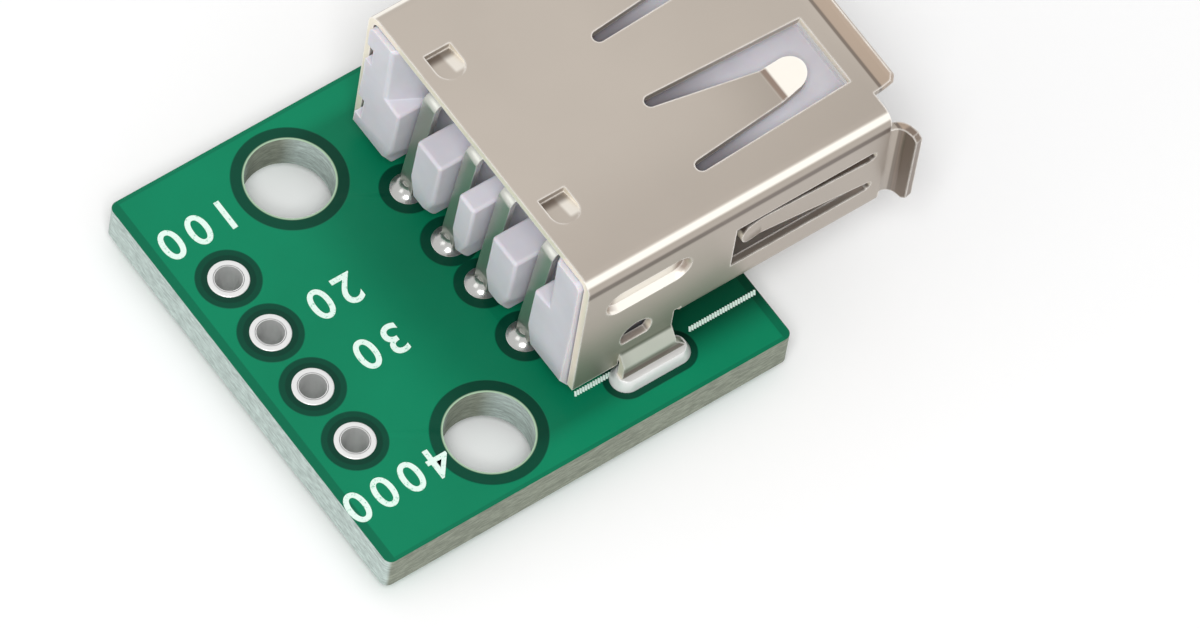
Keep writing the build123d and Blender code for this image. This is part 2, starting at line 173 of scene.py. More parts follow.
class Effect:
    """A shader node group that several finishes share."""

    def __init__(self, name: str, inputs: dict[str, tuple[str, float]], outputs: dict[str, str]) -> None:
        """Makes the group's tree with its named sockets.

        Args:
            name: The group's name.
            inputs: Input name to socket type and default.
            outputs: Output name to socket type.
        """
        self.tree = bpy.data.node_groups.new(name, "ShaderNodeTree")
        for key, (kind, default) in inputs.items():
            socket = self.tree.interface.new_socket(key, in_out="INPUT", socket_type=kind)
            socket.default_value = default
        for key, kind in outputs.items():
            self.tree.interface.new_socket(key, in_out="OUTPUT", socket_type=kind)
        self.graph = Graph(self.tree)
        self.given = self.graph.add("NodeGroupInput").outputs
        self.result = self.graph.add("NodeGroupOutput").inputs

    def place(self, graph: Graph, **values: Any) -> bpy.types.bpy_prop_collection:
        """Adds the group to a material's graph.

        Args:
            graph: The material's graph.
            **values: Input names, with underscores for spaces, to values or sockets.

        Returns:
            The group node's outputs.
        """
        node = graph.add("ShaderNodeGroup", node_tree=self.tree)
        for key, value in values.items():
            graph.feed(node.inputs[key.replace("_", " ")], value)
        return node.outputs


def make_edge_wear_and_highlight() -> Effect:
    """Makes the group that finds outer edges, broken up by noise, where finishes paint edge wear and
    painted edge highlights.

    Returns:
        The group, whose Mask is 1 on an edge.
    """
    effect = Effect(
        "edge_wear_and_highlight",
        {"Reach": ("NodeSocketFloat", 0.06 * MM), "Breakup": ("NodeSocketFloat", 0.4)},
        {"Mask": "NodeSocketFloat"},
    )
    flat_limit, edge_limit = 0.995, 0.86
    noise_scale, noise_detail = 1900.0, 3.0
    noise_low, noise_high = 0.35, 0.65
    g = effect.graph
    rounded = g.add("ShaderNodeBevel", {"Radius": effect.given["Reach"]}, samples=4).outputs[0]
    inputs = {0: rounded, 1: g.normal()}
    facing = g.add("ShaderNodeVectorMath", inputs, operation="DOT_PRODUCT").outputs["Value"]
    edge = g.ramp(facing, flat_limit, edge_limit)
    noise_inputs = {"Vector": g.place(), "Scale": noise_scale, "Detail": noise_detail}
    noise = g.add("ShaderNodeTexNoise", noise_inputs).outputs[0]
    broken = g.math("MULTIPLY", g.ramp(noise, noise_low, noise_high), effect.given["Breakup"])
    kept = g.math("SUBTRACT", 1.0, broken, clamp=True)
    g.feed(effect.result["Mask"], g.math("MULTIPLY", edge, kept, clamp=True))
    return effect


def make_grain() -> Effect:
    """Makes the group of fine grain over slow clouds.

    Returns:
        The group, with Fine and Cloud centred on nought and Height for bumps.
    """
    effect = Effect(
        "grain",
        {
            "Fine Scale": ("NodeSocketFloat", 6000.0),
            "Cloud Scale": ("NodeSocketFloat", 300.0),
            "Stretch": ("NodeSocketFloat", 1.0),
        },
        {"Fine": "NodeSocketFloat", "Cloud": "NodeSocketFloat", "Height": "NodeSocketFloat"},
    )
    fine_detail, fine_roughness, cloud_detail = 4.0, 0.6, 3.0
    cloud_share, fine_share = 0.6, 0.4
    g = effect.graph
    place = g.place()
    stretch = g.vector(effect.given["Stretch"], 1.0, 1.0)
    drawn = g.add("ShaderNodeVectorMath", {0: place, 1: stretch}, operation="MULTIPLY").outputs[0]
    fine_inputs = {
        "Vector": drawn,
        "Scale": effect.given["Fine Scale"],
        "Detail": fine_detail,
        "Roughness": fine_roughness,
    }
    fine = g.add("ShaderNodeTexNoise", fine_inputs).outputs[0]
    cloud_inputs = {"Vector": place, "Scale": effect.given["Cloud Scale"], "Detail": cloud_detail}
    cloud = g.add("ShaderNodeTexNoise", cloud_inputs).outputs[0]
    g.feed(effect.result["Fine"], g.math("SUBTRACT", fine, 0.5))
    g.feed(effect.result["Cloud"], g.math("SUBTRACT", cloud, 0.5))
    height = g.math("MULTIPLY_ADD", cloud, cloud_share, g.math("MULTIPLY", fine, fine_share))
    g.feed(effect.result["Height"], height)
    return effect


@dataclass(frozen=True)
class Shared:
    """The node groups that the finishes share."""

    edge_wear_and_highlight: Effect
    grain: Effect


class Finish:
    """A surface finish that becomes one material."""

    name: str
    colour: Colour
    fine_scale: float
    cloud_scale: float
    stretch: float = 1.0
    colour_spread: float = 1.0
    dark_share: float = 1.0
    light_share: float = 1.0

    def start(self, shared: Shared) -> tuple[bpy.types.Material, Graph, bpy.types.Node, Any]:
        """Makes an empty material.

        Args:
            shared: The shared node groups.

        Returns:
            The material, its graph, its Principled shader and the grain's outputs.
        """
        material = bpy.data.materials.new(self.name)
        material.use_nodes = True
        material.node_tree.nodes.clear()
        graph = Graph(material.node_tree)
        shader = graph.add("ShaderNodeBsdfPrincipled")
        graph.add("ShaderNodeOutputMaterial", {"Surface": shader.outputs[0]})
        scales = {"Fine_Scale": self.fine_scale, "Cloud_Scale": self.cloud_scale}
        return material, graph, shader, shared.grain.place(graph, Stretch=self.stretch, **scales)

    def clouded(self, graph: Graph, cloud: Socket) -> Socket:
        """Returns the colour, from its dark to its light share as the cloud goes."""
        shade = graph.math("MULTIPLY_ADD", cloud, self.colour_spread, 0.5, clamp=True)
        return graph.mix(shade, scaled(self.colour, self.dark_share), scaled(self.colour, self.light_share))

    def bump(self, graph: Graph, shader: bpy.types.Node, height: Any, depth: float) -> None:
        """Feeds a height to the shader's normal, with depth in metres."""
        inputs = {"Height": height, "Distance": depth, "Strength": 1.0}
        graph.feed(shader.inputs["Normal"], graph.add("ShaderNodeBump", inputs).outputs[0])

    def material(self, shared: Shared) -> bpy.types.Material:
        """Builds the material."""
        raise NotImplementedError


@dataclass(frozen=True)
class MetalFinish(Finish):
    """Plated sheet, tin or solder: a metal with grain, clouds and bright or dull edges, whose bright edge
    colour is edge wear and a painted highlight.
    """

    name: str
    colour: Colour
    edge_colour: Colour
    roughness: float
    roughness_spread: float = 0.1
    colour_spread: float = 0.12
    dark_share: float = 0.7
    light_share: float = 1.3
    fine_scale: float = 5000.0
    cloud_scale: float = 260.0
    stretch: float = 1.0
    bump_depth: float = 0.002 * MM
    edge_reach: float = 0.05 * MM
    edge_breakup: float = 0.3
    body_metal: float = 1.0
    edge_metal: float = 1.0

    def tone(self, g: Graph, body: Any) -> tuple[Any, Any]:
        """Returns the body's colour and where it is as dull as an edge, for other finishes to change."""
        return body, 0.0

    def material(self, shared: Shared) -> bpy.types.Material:
        """Builds the metal's material.

        Args:
            shared: The shared node groups.

        Returns:
            The material.
        """
        material, g, shader, grain = self.start(shared)
        edge = shared.edge_wear_and_highlight.place(g, Reach=self.edge_reach, Breakup=self.edge_breakup)["Mask"]
        body, dull = self.tone(g, self.clouded(g, grain["Cloud"]))
        dull = g.math("MAXIMUM", edge, dull)
        g.feed(shader.inputs["Metallic"], g.ramp(dull, 0.0, 1.0, self.body_metal, self.edge_metal))
        # The edge colour is edge wear together with a painted highlight along the edges.
        g.feed(shader.inputs["Base Color"], g.mix(edge, body, linear(*self.edge_colour)))
        rough = g.math("MULTIPLY_ADD", grain["Fine"], self.roughness_spread, self.roughness)
        rough = g.math("MULTIPLY_ADD", grain["Cloud"], self.roughness_spread, rough, clamp=True)
        g.feed(shader.inputs["Roughness"], rough)
        self.bump(g, shader, grain["Height"], self.bump_depth)
        return material


class Read(Enum):
    """What a mask reads: a part of the place in the object's frame, or of the surface's direction."""

    X = 0
    Y = 1
    Z = 2
    FACING_X = 3
    FACING_Y = 4
    FACING_Z = 5


@dataclass(frozen=True)
class Mask:
    """A mask that goes from 0 to 1 as a reading, or its distance from a middle, goes from start to full."""

    read: Read
    start: float
    full: float
    middle: float | None = None


def band(read: Read, middle: float, half: float) -> Mask:
    """Returns the mask of a band that is 1 in its core and 0 outside it."""
    core_share = 0.3
    return Mask(read, half, core_share * half, middle)


@dataclass(frozen=True)
class Stroke:
    """A colour that shows by an amount where all of the masks are 1."""

    name: str
    amount: float
    colour: Colour
    masks: tuple[Mask, ...]


class Masks:
    """Builds masks in a material's graph, each of them once."""

    def __init__(self, g: Graph) -> None:
        """Reads the surface's place and direction.

        Args:
            g: The material's graph.
        """
        self.g = g
        self.readings = [*g.split(g.place()), *g.split(g.normal())]
        self.built: dict[Mask, Socket] = {}

    def one(self, mask: Mask) -> Socket:
        """Builds a mask.

        Args:
            mask: What to build.

        Returns:
            The mask's value.
        """
        if mask not in self.built:
            value = self.readings[mask.read.value]
            if mask.middle is not None:
                value = self.g.away(value, mask.middle)
            self.built[mask] = self.g.ramp(value, mask.start, mask.full)
        return self.built[mask]

    def all(self, *masks: Mask) -> Socket:
        """Builds the product of masks.

        Args:
            *masks: The masks.

        Returns:
            A value that is 1 where all of them are.
        """
        value = self.one(masks[0])
        for mask in masks[1:]:
            value = self.g.math("MULTIPLY", value, self.one(mask))
        return value


@dataclass(frozen=True)
class FoldedSheetFinish(MetalFinish):
    """Plated sheet with cut ends painted pale as a painted highlight, and painted light: painted shade on
    the walls, in creases, slots, dimple ends and lug feet and on the lips, a painted highlight and a
    painted dark reflection along the upper bends, painted highlights on upturned tips, dimples, lug knees
    and tabs, and a painted reflection of the board on the walls.

    The heights and runs are places in the object's frame. The wall is the outer face of a side wall.
    """

    # These colours are painted light: a painted highlight on the cut ends, a painted glint, painted shade
    # and dark painted reflections for the walls, creases, lips and side lips, and a painted reflection of
    # the board.
    cut_end_highlight: Colour = (240, 231, 212)
    glint: Colour = (255, 250, 240)
    shade: Colour = (86, 71, 60)
    crease_shade: Colour = (112, 84, 66)
    lip_shade: Colour = (172, 150, 130)
    side_lip_shade: Colour = (112, 98, 88)
    board_mirror: Colour = (66, 92, 70)
    wall_y: float = 6.55 * MM
    mouth_x: float = 15.8 * MM
    lip_x: float = 16.12 * MM
    line_z: float = 8.6 * MM
    crease_x: float = 13.3 * MM
    finger_top_z: float = 9.1 * MM
    finger_low_z: float = 8.35 * MM
    lug_x: float = 6.25 * MM
    foot_z: float = 2.2 * MM
    knee_z: float = 2.95 * MM
    dimple_x: float = 5.75 * MM
    dimple_z: float = 7.0 * MM
    window_x: float = 9.3 * MM
    window_z: float = 6.3 * MM
    roof_z: float = 9.3 * MM
    tab_x: float = 4.05 * MM
    wall_dullness: float = 0.5

    def out(self, start: float, full: float) -> Mask:
        """Returns a mask that rises between two distances out from the wall, in millimetres."""
        return Mask(Read.Y, self.wall_y + start * MM, self.wall_y + full * MM, 0.0)

    def behind_mouth(self) -> Mask:
        """Returns a mask of the sheet behind the mouth's plane."""
        return Mask(Read.X, self.mouth_x + 0.02 * MM, self.mouth_x - 0.02 * MM)

    def strokes(self) -> list[Stroke]:
        """Lists the sheet's painted shade, painted highlights and painted reflections in the order in which
        they are painted.

        Returns:
            The strokes.
        """
        level = Mask(Read.FACING_Z, 0.75, 0.9)
        upright = Mask(Read.FACING_Y, 0.7, 0.9, 0.0)
        behind = self.behind_mouth()
        ahead = Mask(Read.X, behind.full, behind.start)
        bend = (
            Mask(Read.FACING_Z, 0.94, 0.83),
            Mask(Read.FACING_Z, 0.52, 0.68),
            Mask(Read.FACING_Y, 0.2, 0.4, 0.0),
        )
        near_board = Mask(Read.Z, 6.6 * MM, 2.6 * MM), Mask(Read.X, 10.5 * MM, 8.5 * MM)
        finger = (
            Mask(Read.Z, self.finger_top_z, self.finger_top_z - 0.05 * MM),
            Mask(Read.Z, self.finger_low_z, self.finger_low_z + 0.1 * MM),
        )
        proud, hollow = self.out(0.12, 0.26), self.out(-0.06, -0.14)
        dimple_z = band(Read.Z, self.dimple_z, 0.9 * MM)
        dimple_end = (
            Mask(Read.X, 1.15 * MM, 1.45 * MM, self.dimple_x),
            Mask(Read.X, 2.4 * MM, 2.2 * MM, self.dimple_x),
        )
        window = (
            self.out(0.06, 0.0),
            Mask(Read.FACING_Y, 0.75, 0.5, 0.0),
            Mask(Read.X, self.window_x, self.window_x + 0.2 * MM),
            band(Read.Z, self.window_z, 1.9 * MM),
        )
        tab = (
            Mask(Read.Z, self.roof_z - 0.03 * MM, self.roof_z - 0.07 * MM),
            Mask(Read.Y, 4.6 * MM, 4.4 * MM, 0.0),
            band(Read.X, self.tab_x, 1.1 * MM),
            Mask(Read.FACING_Z, 0.6, 0.8),
        )
        tab_side = Mask(Read.X, self.tab_x, self.tab_x + 0.15 * MM)
        tab_depth = Mask(Read.Z, self.roof_z - 0.17 * MM, self.roof_z - 0.23 * MM)
        lip_root = band(Read.X, self.lip_x, 0.09 * MM)
        lip_face = Mask(Read.X, self.lip_x, self.lip_x + 0.08 * MM)
        lug_foot = band(Read.Z, self.foot_z, 0.22 * MM)
        knee = self.out(0.02, 0.1), band(Read.Z, self.knee_z, 0.5 * MM), band(Read.X, self.lug_x, 2.6 * MM)
        # Every stroke paints light or shade: painted shade on the near side and front of the roof, the
        # walls, the sunk slopes, the finger creases, the lips and their roots, the side lips, the lug feet,
        # the dimple ends, the windows and the deep ends of the tabs; painted highlights on the upper bends,
        # upturned tips, dimples, lug knees and tab sides; a painted dark reflection below the bends and a
        # painted reflection of the board in the walls.
        return [
            Stroke("near side", 0.15, self.shade, (Mask(Read.Y, -2.0 * MM, -6.0 * MM), level)),
            Stroke("front", 0.08, self.shade, (Mask(Read.X, 9.0 * MM, 15.0 * MM), level)),
            Stroke("walls", 0.22, self.shade, (upright,)),
            Stroke("board in the walls", 0.55, self.board_mirror, (upright, *near_board)),
            Stroke("upper bend", 1.0, self.glint, bend),
            Stroke(
                "line below the bend",
                0.85,
                self.shade,
                (band(Read.Z, self.line_z, 0.25 * MM), self.out(-0.2, -0.08), behind),
            ),
            Stroke("upturned tips", 0.85, self.glint, (Mask(Read.FACING_X, -0.08, -0.26), level, behind)),
            Stroke("sunk slopes", 0.18, self.shade, (Mask(Read.FACING_X, 0.05, 0.14), level)),
            Stroke(
                "crease of the fingers",
                0.85,
                self.crease_shade,
                (band(Read.X, self.crease_x, 0.15 * MM), level, *finger),
            ),
            Stroke("lips", 0.7, self.lip_shade, (lip_face,)),
            Stroke("roots of the lips", 0.7, self.shade, (lip_root,)),
            Stroke("side lips", 0.8, self.side_lip_shade, (proud, ahead)),
            Stroke("feet of the lugs", 0.85, self.shade, (proud, behind, lug_foot)),
            Stroke("dimples", 0.75, self.glint, (hollow, band(Read.X, self.dimple_x, 2.3 * MM), dimple_z)),
            Stroke("ends of the dimples", 0.6, self.crease_shade, (hollow, *dimple_end, dimple_z)),
            Stroke("windows", 0.8, self.shade, (*window, behind)),
            Stroke("knees of the lugs", 0.9, self.glint, knee),
            Stroke("bright sides of the tabs", 0.6, self.glint, (tab_side, *tab)),
            Stroke("deep ends of the tabs", 0.7, self.shade, (tab_depth, *tab)),
        ]

    def tone(self, g: Graph, body: Any) -> tuple[Any, Any]:
        """Adds the strokes of painted light and shade, and the painted highlight on the cut ends, to the
        sheet's colour.

        Args:
            g: The material's graph.
            body: The sheet's colour before them.

        Returns:
            The changed colour, and a mask of the cut ends and, in part, the upright walls.
        """
        masks = Masks(g)
        for stroke in self.strokes():
            mask = masks.all(*stroke.masks)
            body = g.mix(g.math("MULTIPLY", mask, stroke.amount), body, linear(*stroke.colour))
            body.node.label = stroke.name
        wall = g.math("MULTIPLY", masks.one(Mask(Read.FACING_Y, 0.8, 0.95, 0.0)), self.wall_dullness)
        ends = masks.all(Mask(Read.FACING_X, 0.8, 0.97, 0.0), self.behind_mouth())
        # The cut ends are painted pale as a painted highlight.
        return g.mix(ends, body, linear(*self.cut_end_highlight)), g.math("MAXIMUM", ends, wall)


@dataclass(frozen=True)
class MouldedFinish(Finish):
    """Moulded engineering plastic: faint clouds, paler edges as painted highlights, a fine skin, and
    painted shade inside the shell.
    """

    name: str
    colour: Colour
    edge_colour: Colour
    roughness: float = 0.42
    roughness_spread: float = 0.2
    colour_spread: float = 1.4
    dark_share: float = 0.84
    light_share: float = 1.1
    fine_scale: float = 4200.0
    cloud_scale: float = 420.0
    edge_reach: float = 0.14 * MM
    edge_breakup: float = 0.35
    roof_shade_colour: Colour = (112, 104, 110)
    roof_shade_depth: float = 0.7
    roof_shade: tuple[Mask, ...] = (Mask(Read.X, 12.6 * MM, 9.5 * MM), Mask(Read.X, 4.6 * MM, 5.4 * MM))
    subsurface: float = 0.25
    subsurface_reach: float = 0.4 * MM
    bump_depth: float = 0.006 * MM

    def material(self, shared: Shared) -> bpy.types.Material:
        """Builds the plastic's material.

        Args:
            shared: The shared node groups.

        Returns:
            The material.
        """
        material, g, shader, grain = self.start(shared)
        shader.inputs["Subsurface Weight"].default_value = self.subsurface
        shader.inputs["Subsurface Scale"].default_value = self.subsurface_reach
        edge = shared.edge_wear_and_highlight.place(g, Reach=self.edge_reach, Breakup=self.edge_breakup)["Mask"]
        # The paler edge colour is a painted highlight along the edges.
        body = g.mix(edge, self.clouded(g, grain["Cloud"]), linear(*self.edge_colour))
        # Painted shade on the insulator under the shell's roof.
        roof_shade = g.math("MULTIPLY", Masks(g).all(*self.roof_shade), self.roof_shade_depth)
        g.feed(shader.inputs["Base Color"], g.mix(roof_shade, body, linear(*self.roof_shade_colour)))
        rough = g.math("MULTIPLY_ADD", grain["Fine"], self.roughness_spread, self.roughness, clamp=True)
        g.feed(shader.inputs["Roughness"], rough)
        self.bump(g, shader, grain["Height"], self.bump_depth)
        return material


@dataclass(frozen=True)
class PrintFinish(Finish):
    """Printed ink: nearly white, a little worn through, with a soft skin."""

    name: str = "white_print"
    colour: Colour = (226, 246, 236)
    thin_colour: Colour = (150, 205, 180)
    thin_start: float = 0.05
    thin_full: float = 0.2
    fine_scale: float = 9000.0
    cloud_scale: float = 1500.0
    roughness: float = 0.55
    roughness_spread: float = 0.2
    bump_depth: float = 0.004 * MM

    def material(self, shared: Shared) -> bpy.types.Material:
        """Builds the ink's material.

        Args:
            shared: The shared node groups.

        Returns:
            The material.
        """
        material, g, shader, grain = self.start(shared)
        thin = g.ramp(grain["Fine"], self.thin_start, self.thin_full)
        g.feed(shader.inputs["Base Color"], g.mix(thin, linear(*self.colour), linear(*self.thin_colour)))
        rough = g.math("MULTIPLY_ADD", grain["Cloud"], self.roughness_spread, self.roughness)
        g.feed(shader.inputs["Roughness"], rough)
        self.bump(g, shader, grain["Height"], self.bump_depth)
        return material


@dataclass(frozen=True)
class BoardLayout:
    """Where the board's holes, rings and bare zones lie, in metres."""

    rear_x: float
    front_x: float
    half_width: float
    top: float
    screw_x: float = 0.0
    screw_y: float = 6.0 * MM
    screw_radius: float = 1.6 * MM
    screw_zone_radius: float = 2.08 * MM
    header_x: float = -4.1 * MM
    header_pitch: float = 2.54 * MM
    header_bore_radius: float = 0.5 * MM
    header_pad_radius: float = 0.745 * MM
    header_zone_radius: float = 1.18 * MM
    contact_x: float = 3.25 * MM
    contact_inner_y: float = 1.0 * MM
    contact_outer_y: float = 3.5 * MM
    contact_zone_radius: float = 1.02 * MM
    lug_x: float = 6.25 * MM
    lug_y: float = 6.76 * MM
    lug_half_run: float = 1.02 * MM
    lug_zone_radius: float = 0.84 * MM
    rear_margin: float = 0.34 * MM
    side_margin: float = 0.16 * MM


@dataclass(frozen=True)
class MaskedBoardFinish(Finish):
    """Green solder mask over copper, darker where no copper lies under it, on a glass-epoxy board, with
    painted shade beside and under the socket and cut edges painted lit at the ends and shaded along the
    sides.
    """

    layout: BoardLayout
    name: str = "solder_mask"
    colour: Colour = (8, 129, 91)
    over_laminate: Colour = (4, 70, 51)
    moat: Colour = (3, 38, 30)
    moat_step: float = 0.22 * MM
    moat_amount: float = 0.45
    end_amount: float = 0.45
    side_amount: float = 0.3
    zone_softness: float = 0.03 * MM
    dark_share: float = 0.78
    light_share: float = 1.18
    colour_spread: float = 0.9
    fine_scale: float = 2600.0
    cloud_scale: float = 160.0
    # Painted light on the board's cut edges: the edges facing along X are painted lit and those facing
    # across are painted in shade.
    lit_edge: Colour = (182, 196, 191)
    shaded_edge: Colour = (140, 146, 132)
    lit_ends: Mask = Mask(Read.FACING_X, 0.35, 0.8, 0.0)
    face: Mask = Mask(Read.FACING_Z, 0.35, 0.6, 0.0)
    fibre_stretch: tuple[float, float, float] = (1.0, 1.0, 5.0)
    fibre_scale: float = 2200.0
    fibre_detail: float = 5.0
    fibre_roughness: float = 0.7
    streak: tuple[float, float, float, float] = (0.3, 0.7, 0.68, 1.2)
    rim: Colour = (168, 196, 166)
    rim_width: float = 0.06 * MM
    # Painted shade on the mask behind, beside and under the socket.
    shade_start: float = -1.6 * MM
    shade_end: float = 1.4 * MM
    shade_depth: float = 0.7
    deep_start: float = 6.4 * MM
    deep_end: float = 8.0 * MM
    deep_depth: float = 0.4
    open_half: float = 1.1 * MM
    mask_roughness: float = 0.34
    mask_roughness_spread: float = 0.12
    cut_roughness: float = 0.75
    copper_step: float = 0.5
    weave_height: float = 0.3
    bump_depth: float = 0.02 * MM
    specular: float = 0.14

    def around(self, g: Graph, x: Any, y: Any, centre_x: float, run: float = 0.0) -> Socket:
        """Finds the distance of a folded place from a point or from a short line along X.

        Args:
            g: The material's graph.
            x: The place along X.
            y: The place across, from the point.
            centre_x: The point, or the line's middle.
            run: Half of the line's length.

        Returns:
            The distance.
        """
        along = g.away(x, centre_x)
        if run:
            along = g.math("MAXIMUM", g.math("SUBTRACT", along, run), 0.0)
        squares = g.math("ADD", g.math("MULTIPLY", along, along), g.math("MULTIPLY", y, y))
        return g.math("SQRT", squares)

    def inside(self, g: Graph, distance: Any, radius: float) -> Socket:
        """Returns 1 within the radius and 0 outside it."""
        return g.ramp(distance, radius + self.zone_softness, radius - self.zone_softness)

    def bare(self, g: Graph, x: Socket, side: Socket, header: Socket, screw: Socket) -> Socket:
        """Finds where no copper lies: round the holes and along the edges.

        Args:
            g: The material's graph.
            x: The place along X.
            side: The distance from the middle, across.
            header: The distance from the nearest header hole.
            screw: The distance from the nearest screw hole.

        Returns:
            A mask of the bare zones.
        """
        lay = self.layout
        middle = (lay.contact_inner_y + lay.contact_outer_y) / 2
        reach = (lay.contact_outer_y - lay.contact_inner_y) / 2
        contact_y = g.math("SUBTRACT", g.away(side, middle), reach)
        contact = self.around(g, x, contact_y, lay.contact_x)
        lug = self.around(g, x, g.math("SUBTRACT", side, lay.lug_y), lay.lug_x, lay.lug_half_run)
        to_side = g.math("SUBTRACT", lay.half_width, side)
        to_end = g.math("MINIMUM", g.math("SUBTRACT", x, lay.rear_x), g.math("SUBTRACT", lay.front_x, x))
        bare = self.inside(g, header, lay.header_zone_radius)
        for distance, radius, amount in (
            (contact, lay.contact_zone_radius, 1.0),
            (screw, lay.screw_zone_radius, 1.0),
            (lug, lay.lug_zone_radius, 1.0),
            (to_end, lay.rear_margin, self.end_amount),
            (to_side, lay.side_margin, self.side_amount),
        ):
            zone = g.math("MULTIPLY", self.inside(g, distance, radius), amount)
            bare = g.math("MAXIMUM", bare, zone)
        return bare

    def shadow(self, g: Graph, x: Socket, side: Socket) -> Socket:
        """Finds the painted shade on the mask beside and under the socket.

        Args:
            g: The material's graph.
            x: The place along X.
            side: The distance from the middle, across.

        Returns:
            The light left by the painted shade, 1 in the open.
        """
        lug_y = self.layout.lug_y
        behind = g.ramp(x, self.shade_start, self.shade_end, 1.0, self.shade_depth)
        under = g.ramp(x, self.deep_start, self.deep_end, 1.0, self.deep_depth)
        open_side = g.ramp(side, lug_y - self.open_half, lug_y + self.open_half)
        return g.math("MAXIMUM", g.math("MULTIPLY", behind, under), open_side)

    def material(self, shared: Shared) -> bpy.types.Material:
        """Builds the board's material.

        Args:
            shared: The shared node groups.

        Returns:
            The material.
        """
        material, g, shader, grain = self.start(shared)
        lay, place, masks = self.layout, g.place(), Masks(g)
        x, side = masks.readings[0], g.math("ABSOLUTE", masks.readings[1])
        header_y = g.math("SUBTRACT", g.away(side, lay.header_pitch), lay.header_pitch / 2)
        header = self.around(g, x, header_y, lay.header_x)
        screw = self.around(g, x, g.math("SUBTRACT", side, lay.screw_y), lay.screw_x)
        bare = self.bare(g, x, side, header, screw)

        mask = g.mix(bare, self.clouded(g, grain["Cloud"]), linear(*self.over_laminate))
        moat = self.inside(g, header, lay.header_zone_radius - self.moat_step)
        mask = g.mix(g.math("MULTIPLY", moat, self.moat_amount), mask, linear(*self.moat))
        # Painted shade beside and under the socket darkens the mask.
        mask = g.darken(mask, self.shadow(g, x, side))
        mask = g.mix(self.inside(g, screw, lay.screw_radius + self.rim_width), mask, linear(*self.rim))

        drawn = {0: place, 1: self.fibre_stretch}
        fibre_inputs = {
            "Vector": g.add("ShaderNodeVectorMath", drawn, operation="MULTIPLY").outputs[0],
            "Scale": self.fibre_scale,
            "Detail": self.fibre_detail,
            "Roughness": self.fibre_roughness,
        }
        fibres = g.add("ShaderNodeTexNoise", fibre_inputs).outputs[0]
        # The cut edges are painted lit at the ends and in shade along the sides.
        glass = g.mix(masks.one(self.lit_ends), linear(*self.shaded_edge), linear(*self.lit_edge))
        cut = g.darken(glass, g.ramp(fibres, *self.streak))

        face = masks.one(self.face)
        g.feed(shader.inputs["Base Color"], g.mix(face, cut, mask))
        rough = g.math("MULTIPLY_ADD", grain["Fine"], self.mask_roughness_spread, self.mask_roughness)
        g.feed(shader.inputs["Roughness"], g.ramp(face, 0.0, 1.0, self.cut_roughness, rough))
        step = g.math("MULTIPLY", g.math("SUBTRACT", 1.0, bare), self.copper_step)
        weave = g.math("MULTIPLY_ADD", grain["Cloud"], self.weave_height, step)
        coarse = g.math("MULTIPLY", g.math("SUBTRACT", 1.0, face), fibres)
        self.bump(g, shader, g.math("ADD", weave, coarse), self.bump_depth)
        shader.inputs["Specular IOR Level"].default_value = self.specular
        return material


@dataclass(frozen=True)
class FloorFinish(Finish):
    """A plain pale floor."""

    name: str = "pale_floor"
    colour: Colour = (252, 252, 252)
    dark_share: float = 0.985
    fine_scale: float = 900.0
    cloud_scale: float = 12.0
    roughness: float = 0.9

    def material(self, shared: Shared) -> bpy.types.Material:
        """Builds the floor's material.

        Args:
            shared: The shared node groups.

        Returns:
            The material.
        """
        material, g, shader, grain = self.start(shared)
        g.feed(shader.inputs["Base Color"], self.clouded(g, grain["Cloud"]))
        shader.inputs["Roughness"].default_value = self.roughness
        return material


class Metal(Enum):
    """The metal finishes on the object."""

    SHELL = FoldedSheetFinish(
        "satin_plated_shell",
        (189, 179, 168),
        (250, 246, 240),
        0.32,
        colour_spread=0.16,
        stretch=0.35,
        bump_depth=0.0008 * MM,
        edge_reach=0.12 * MM,
        body_metal=0.62,
        edge_metal=0.2,
    )
    PLATING = MetalFinish(
        "tinned_plating", (232, 233, 230), (250, 250, 248), 0.32, cloud_scale=900.0, body_metal=0.55
    )
    CONTACT = MetalFinish(
        "plated_contact", (192, 193, 186), (232, 232, 226), 0.32, cloud_scale=700.0, body_metal=0.9
    )
    SOLDER = MetalFinish(
        "solder",
        (184, 184, 181),
        (240, 240, 238),
        0.18,
        cloud_scale=1300.0,
        bump_depth=0.02 * MM,
        body_metal=0.9,
    )
    # The solder round the lugs is a pale, mostly non-metal copy of the solder, whose brightness is a
    # painted highlight.
    LUG_SOLDER_PAINTED_BRIGHT = MetalFinish(
        "lug_solder",
        (240, 239, 237),
        (250, 250, 248),
        0.2,
        cloud_scale=1100.0,
        bump_depth=0.02 * MM,
        body_metal=0.25,
    )


def add_object(name: str, data: bpy.types.ID) -> bpy.types.Object:
    """Makes an object from its data and links it to the scene.

    Args:
        name: The object's name.
        data: Its mesh, curve, lamp or camera.

    Returns:
        The object.
    """
    item = bpy.data.objects.new(name, data)
    bpy.context.scene.collection.objects.link(item)
    return item


def mesh_piece(name: str, mesh: bpy.types.Mesh, material: bpy.types.Material) -> bpy.types.Object:
    """Makes a piece of the object from a mesh whose place is in its vertices.

    Args:
        name: The piece's name.
        mesh: The finished mesh.
        material: Its material.

    Returns:
        The piece, riding on the object's body.
    """
    mesh.name = name
    mesh.materials.clear()
    mesh.materials.append(material)
    piece = add_object(name, mesh)
    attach(piece, BODY)
    log.info("%s made", name)
    return piece


def smooth(mesh: bpy.types.Mesh, angle: float) -> None:
    """Shades a mesh smooth and keeps edges above the angle, in degrees, sharp."""
    mesh.shade_smooth()
    mesh.set_sharp_from_angle(angle=math.radians(angle))


